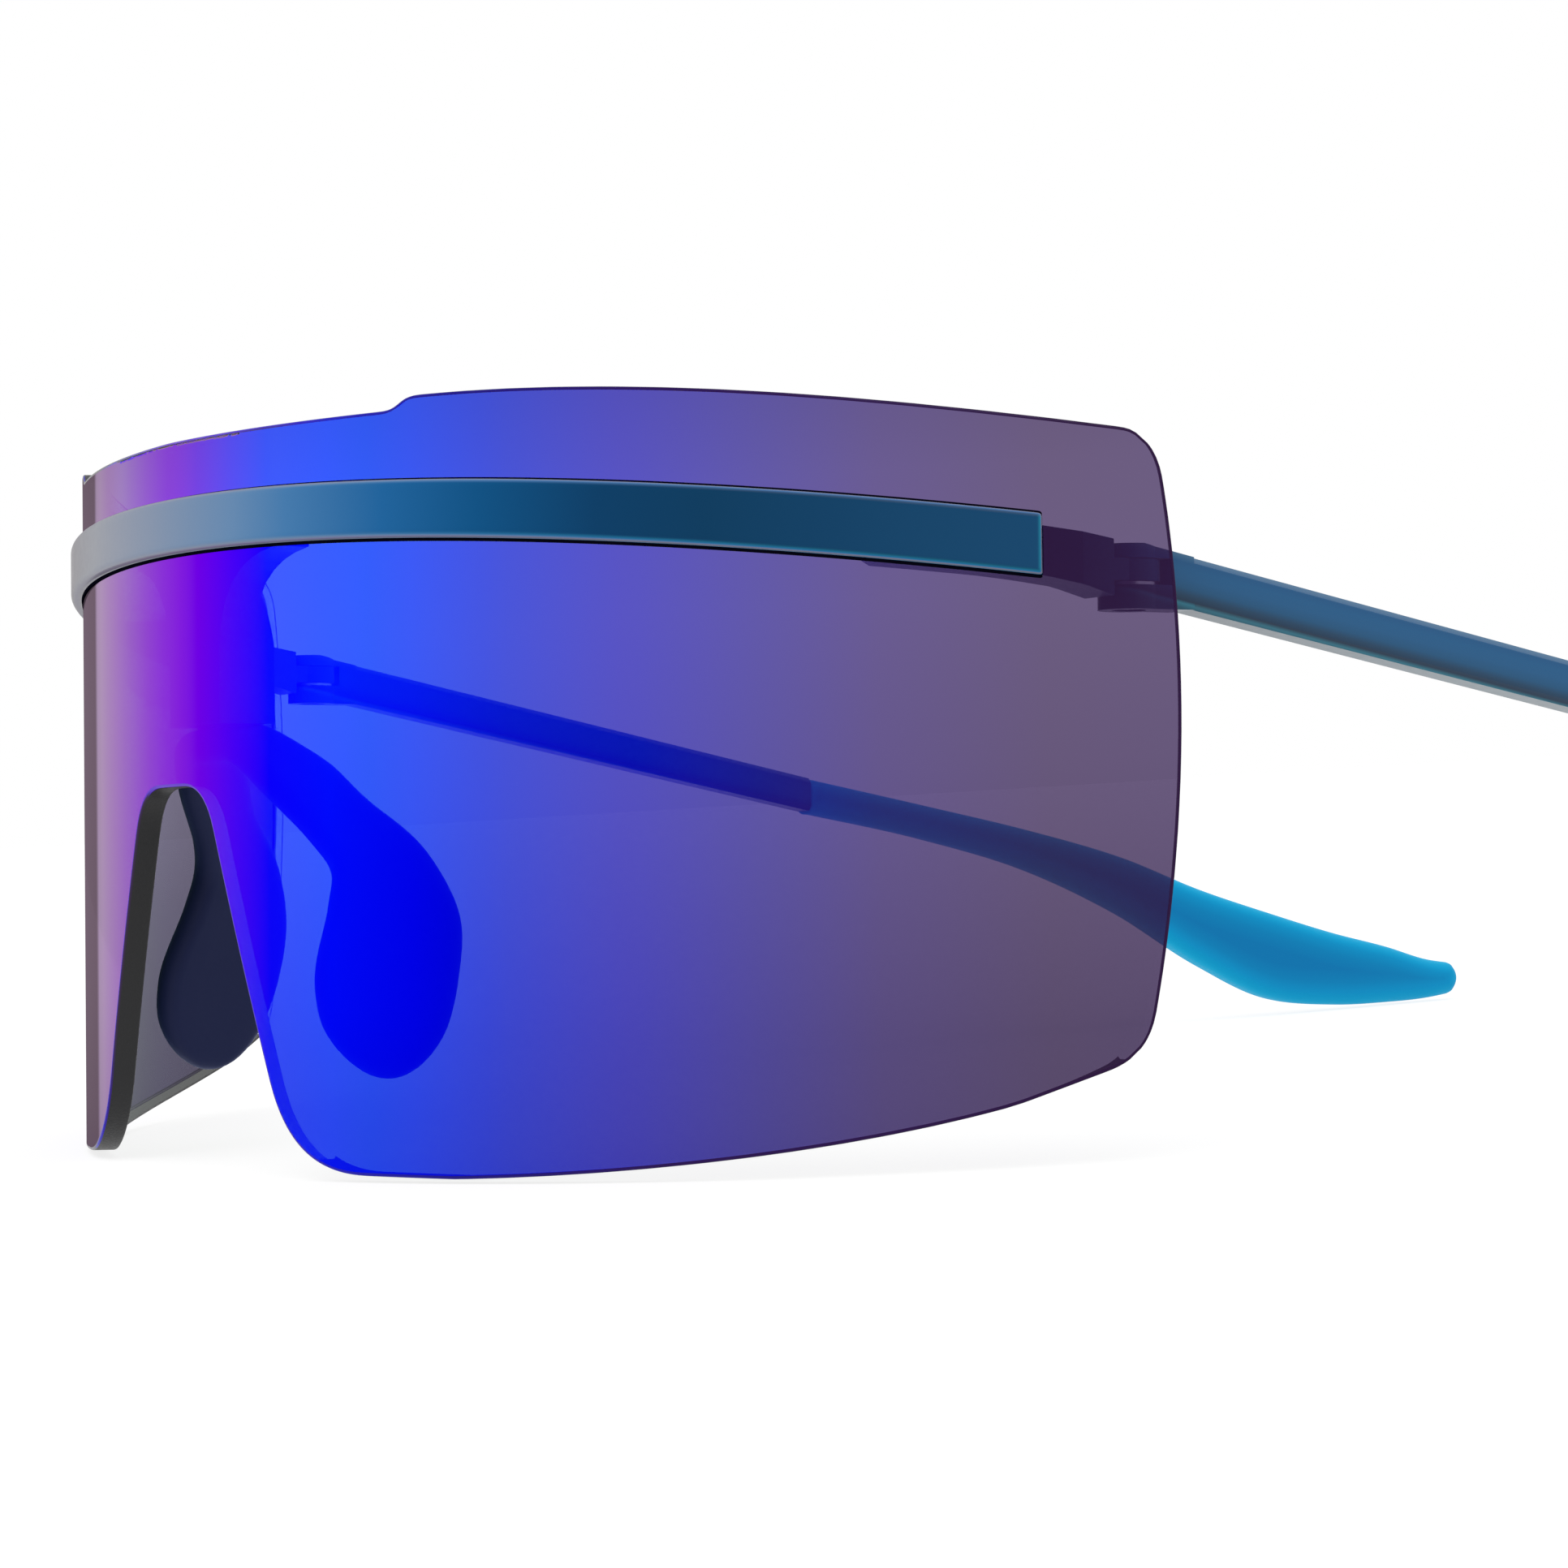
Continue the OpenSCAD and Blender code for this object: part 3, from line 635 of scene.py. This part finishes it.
def build_bar():
    # upper half of the section: distance out from the lens and height along the wall; the first points are
    # a dark strip against the lens, a painted shadow, which stands a little beyond the body
    half, body, round_off = BAR_H / 2, BAR_H / 2 - 0.11, 0.34
    corner = [(BAR_T - round_off + round_off * math.sin(a), body - round_off + round_off * math.cos(a))
              for a in np.radians(np.linspace(0, 90, 7))]
    upper = [(0.02, half + 0.1), (0.07, half + 0.1), (0.10, body), (0.3, body)] + corner
    upper += [(BAR_T, v) for v in (1.3, 1.05, 0.7, 0.3)]
    section = np.array(upper + [(o, -v) for o, v in upper[::-1]])
    shadow_columns = [1 if j < 2 or j >= len(section) - 3 else 0 for j in range(len(section))]
    ends = [(BAR_END - d / PER_RADIAN, inset)
            for d, inset in ((0.3, 0), (0.14, 0.01), (0.05, 0.05), (0.01, 0.1), (0, 0.16))]
    stations = [(math.radians(t), 0) for t in np.arange(-57, 57.1, 0.75)]
    stations = sorted(stations + ends + [(-t, inset) for t, inset in ends])
    rings, low, high = [], [], []
    for t, inset in stations:
        out = 0.02 + (section[:, 0] - 0.02) * (1 - inset / BAR_T)
        up = section[:, 1] * (1 - inset / half)
        p = wall(np.full(len(out), t), out)
        rings.append(np.column_stack([p, bar_z(p[:, 1]) + up / math.cos(BAR_FALL)]))
        to_end = (BAR_END - abs(t)) * PER_RADIAN
        low.append(np.minimum(body + up, to_end))
        high.append(np.where(out > 0.2, body - up, 1))
    bm = bmesh.new()
    add_loft(bm, np.array(rings), shadow_columns)
    # distances from the lower edge and the ends, and from the upper edge, for the nylon's painted glow and
    # painted highlight
    set_values(bm, "edge", np.clip(low, 0, 1), 1)
    set_values(bm, "upper", np.clip(high, 0, 1), 1)
    for angle in STUDS:
        t = math.radians(angle)
        turn = np.radians(np.arange(0, 360, 15))
        n = wall_normal(t)
        across = np.array([-n[1], n[0], 0])
        base = np.array([*wall(t, 0.0), bar_z(wall(t, 0.0)[1])])
        circle = np.cos(turn)[:, None] * across + np.sin(turn)[:, None] * [0, 0, 1]
        add_loft(bm, np.array([base + np.array([*n, 0]) * out + r * circle
                               for out, r in ((0.5, 0.98), (-3.1, 0.98), (-3.19, 0.9))]))
    keep(bm, "brow_bar_shell", "front", "brow_bar", [NYLON, PAINTED_SEAT_SHADOW])


build_bar()

# ---------------------------------------------------------------- nosepiece
NOSE_R = 1.2                      # edge radius of the pads
# centres of the front edge and of the rear edge, from the middle of the bridge down to the foot of a pad
NOSE_RIBS = [
    [0, 3.3, 29.75, 0, 5.3, 30.0], [4.4, 3.5, 29.5, 4.4, 5.4, 29.85], [7.5, 5.0, 26.9, 7.4, 7.8, 27.8],
    [10.5, 7.3, 23.4, 10.5, 9.8, 24.8], [12.5, 8.2, 20.8, 13.2, 12.6, 21.7],
    [13.2, 7.7, 18.2, 15, 14.1, 18.1], [14.4, 6.1, 12.9, 15.9, 13.7, 12.6],
    [15.3, 6.3, 9.4, 16.4, 12.6, 9.1], [16.1, 7.0, 6.3, 16.8, 11.8, 6.1]]
NOSE_FOOT = 4.5                   # length of the rounded foot of a pad


def build_nosepiece():
    ribs = np.array(NOSE_RIBS, float)
    other = ribs[:0:-1] * [-1, 1, 1, -1, 1, 1]
    line = through(np.concatenate([other, ribs]), 121)
    path = path_length((line[:, :3] + line[:, 3:]) / 2)
    foot = np.array([0.004, 0.03, 0.09, 0.18, 0.3, 0.5, 0.8, 1.2, 1.7, 2.3, 3.0, 3.7, NOSE_FOOT])
    inner = path[(path > NOSE_FOOT + 0.3) & (path < path[-1] - NOSE_FOOT - 0.3)]
    at = np.concatenate([foot, inner, (path[-1] - foot)[::-1]])
    line = np.stack([np.interp(at, path, line[:, i]) for i in range(6)], 1)
    front, rear = line[:, :3], line[:, 3:]
    middle = (front + rear) / 2
    along = np.gradient(middle, at, axis=0)
    along /= np.linalg.norm(along, axis=1, keepdims=True)
    wide = rear - front
    reach = np.linalg.norm(wide, axis=1) / 2
    wide /= 2 * reach[:, None]
    thin = np.cross(along, wide)
    thin /= np.linalg.norm(thin, axis=1, keepdims=True)
    arc = np.radians(np.linspace(90, 270, 11))[:, None]
    rings = []
    for k, to_end in enumerate(np.minimum(at, path[-1] - at)):
        # towards the end of a pad the section shrinks along a quarter ellipse
        r = NOSE_R * math.sqrt(1 - (1 - min(to_end / NOSE_R, 1)) ** 2)
        total = (reach[k] + NOSE_R) * math.sqrt(1 - (1 - min(to_end / NOSE_FOOT, 1)) ** 2)
        half = max(total - r, 0.01) * wide[k]
        ahead = middle[k] - half + r * (np.cos(arc) * wide[k] + np.sin(arc) * thin[k])
        behind = middle[k] + half - r * (np.cos(arc) * wide[k] + np.sin(arc) * thin[k])
        flat = np.linspace(0, 1, 6)[1:-1, None]
        rings.append(np.concatenate([ahead, ahead[-1] + flat * (behind[0] - ahead[-1]), behind,
                                     behind[-1] + flat * (ahead[0] - behind[-1])]))
    bm = bmesh.new()
    add_loft(bm, np.array(rings))
    keep(bm, "nosepiece_rubber", "front", "nosepiece", [NAVY])


build_nosepiece()

# ---------------------------------------------------------------- temple tips
# distance behind the pin, top height and bottom height of the tip's sections
TIP = [[49, 30.3, 27.1], [63.3, 27.6, 24.45], [74.2, 25.45, 21.7], [85, 22.85, 17.4], [94.7, 19.55, 12.2],
       [102.4, 17.4, 9.05], [110.5, 15.3, 8.25], [117, 13.9, 8.4], [122, 12.6, 8.75], [125.6, 12.15, 9.3]]
TIP_START, TIP_HALF_T, TIP_R = 50.0, 1.55, 1.2


def build_tip(side, name, body):
    line = through(TIP, 150)
    line = line[line[:, 0] > TIP_START + 0.4]
    tip_end = line[-1, 0]
    stations = [(TIP_START + d, *[np.interp(TIP_START + d, line[:, 0], line[:, i]) for i in (1, 2)], inset)
                for d, inset in ((0, 0.3), (0.04, 0.14), (0.14, 0.04), (0.3, 0))]
    stations += [(*row, 0) for row in line if row[0] < tip_end - TIP_R]
    for a in np.radians([0, 20, 40, 58, 72, 84, 90]):
        d = tip_end - TIP_R * (1 - math.sin(a))
        top, bottom = [np.interp(d, line[:, 0], line[:, i]) for i in (1, 2)]
        stations.append((d, top, bottom, TIP_R * (1 - math.cos(a))))
    quarter = np.radians(np.linspace(0, 90, 8))
    rings, edges = [], []
    for d, top, bottom, inset in stations:
        half_t, half_h = TIP_HALF_T - inset, (top - bottom) / 2 - inset
        r = min(TIP_R, half_t, half_h) * 0.999
        corner = np.stack([half_t - r + r * np.sin(quarter), half_h - r + r * np.cos(quarter)], 1)
        face = np.stack([np.full(6, half_t), np.linspace(half_h - r, 0, 8)[1:-1]], 1)
        upper = np.concatenate([corner, face, [[half_t, 0]]])
        right = np.concatenate([upper, (upper * [1, -1])[-2::-1]])
        outline = np.concatenate([right, -right])
        x = ARM_MID + outline[:, 0]
        out = PIN_X + x * math.cos(SPLAY) + d * math.sin(SPLAY)
        back = PIN_Y - x * math.sin(SPLAY) + d * math.cos(SPLAY)
        rings.append(np.column_stack([side * out, back, (top + bottom) / 2 + outline[:, 1]]))
        edges.append(np.minimum((top - bottom) / 2 - np.abs(outline[:, 1]), (tip_end - d) * 0.8))
    bm = bmesh.new()
    add_loft(bm, np.array(rings))
    set_values(bm, "edge", edges, 0)
    keep(bm, name, body, name.replace("_rubber", ""), [CYAN])


build_tip(1, "temple_tip_left_rubber", "temple_left")
build_tip(-1, "temple_tip_right_rubber", "temple_right")

# ---------------------------------------------------------------- CAD pieces with a better finish
def soften(piece, width):
    """Rounds the edges of a CAD piece by that many millimetres."""
    weld = piece.modifiers.new("weld", "WELD")
    weld.merge_threshold = 1e-6
    flat = piece.modifiers.new("flat", "DECIMATE")
    flat.decimate_type, flat.angle_limit = "DISSOLVE", math.radians(1.5)
    edge = piece.modifiers.new("edge", "BEVEL")
    edge.width, edge.segments = width / 1000, 3
    edge.limit_method, edge.angle_limit = "ANGLE", math.radians(35)


def dress(name, finish):
    """Gives a CAD piece its material, and the nylon ones rounded edges too."""
    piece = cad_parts[name]
    for s in piece.material_slots:
        s.material = finish
    if finish in (HINGE_NYLON, TEMPLE):
        soften(piece, SOFT_EDGE)


dress("bridge_stem", HINGE_NYLON)
for kind, finish in (("endpiece", HINGE_NYLON), ("temple_arm", TEMPLE),
                     ("bridge_screw", STEEL), ("endpiece_screw", STEEL), ("hinge_screw", STEEL),
                     ("hinge_washer", STEEL), ("hinge_bush", BRASS), ("hinge_insert", BRASS)):
    for side in ("left", "right"):
        dress(f"{kind}_{side}", finish)

# ---------------------------------------------------------------- stage, light and camera
CAMERA_AT = (0.32219, -0.21208, 0.02389)
CAMERA_TURN = (60.76, 90.16, -3.42)  # heading, tilt and roll, in degrees
FLOOR_HALF, FLOOR_DROP = 20.0, 0.0002  # half width of the floor, and how far it lies under the part


def build_stage():
    mesh = bpy.data.meshes.new("floor")
    r = FLOOR_HALF
    mesh.from_pydata([(-r, -r, 0), (r, -r, 0), (r, r, 0), (-r, r, 0)], [], [(0, 1, 2, 3)])
    floor = bpy.data.objects.new("floor", mesh)
    scene.collection.objects.link(floor)
    floor.location.z = -FLOOR_DROP
    m, tree, surface = own_material("pale_floor")
    white = node(tree, "BsdfDiffuse")
    white.inputs["Color"].default_value = (0.22, 0.22, 0.22, 1)
    glow = node(tree, "Emission")
    glow.inputs["Strength"].default_value = 0.80
    both = node(tree, "AddShader")
    tree.links.new(white.outputs[0], both.inputs[0])
    tree.links.new(glow.outputs[0], both.inputs[1])
    tree.links.new(both.outputs[0], surface)
    mesh.materials.append(m)

    world = bpy.data.worlds.new("studio")
    world.use_nodes = True
    world.node_tree.nodes["Background"].inputs["Color"].default_value = (1, 1, 1, 1)
    world.node_tree.nodes["Background"].inputs["Strength"].default_value = 1.0
    scene.world = world

    sun = bpy.data.lights.new("soft_top_light", "SUN")
    sun.energy, sun.angle = 0.9, math.radians(50)
    lamp = bpy.data.objects.new("soft_top_light", sun)
    lamp.rotation_euler = Vector((-0.45, 0.35, -1)).to_track_quat("-Z", "Y").to_euler()
    scene.collection.objects.link(lamp)

    camera = bpy.data.cameras.new("camera")
    camera.sensor_width, camera.lens = 36, 111.03
    camera.clip_start = 0.01
    eye = bpy.data.objects.new("camera", camera)
    heading, tilt, roll = (Matrix.Rotation(math.radians(angle), 4, axis)
                           for angle, axis in zip(CAMERA_TURN, "ZXZ"))
    eye.matrix_world = Matrix.Translation(CAMERA_AT) @ (heading @ tilt @ roll)
    scene.collection.objects.link(eye)
    scene.camera = eye
    scene.view_settings.view_transform = "Standard"


build_stage()

bpy.context.view_layer.update()
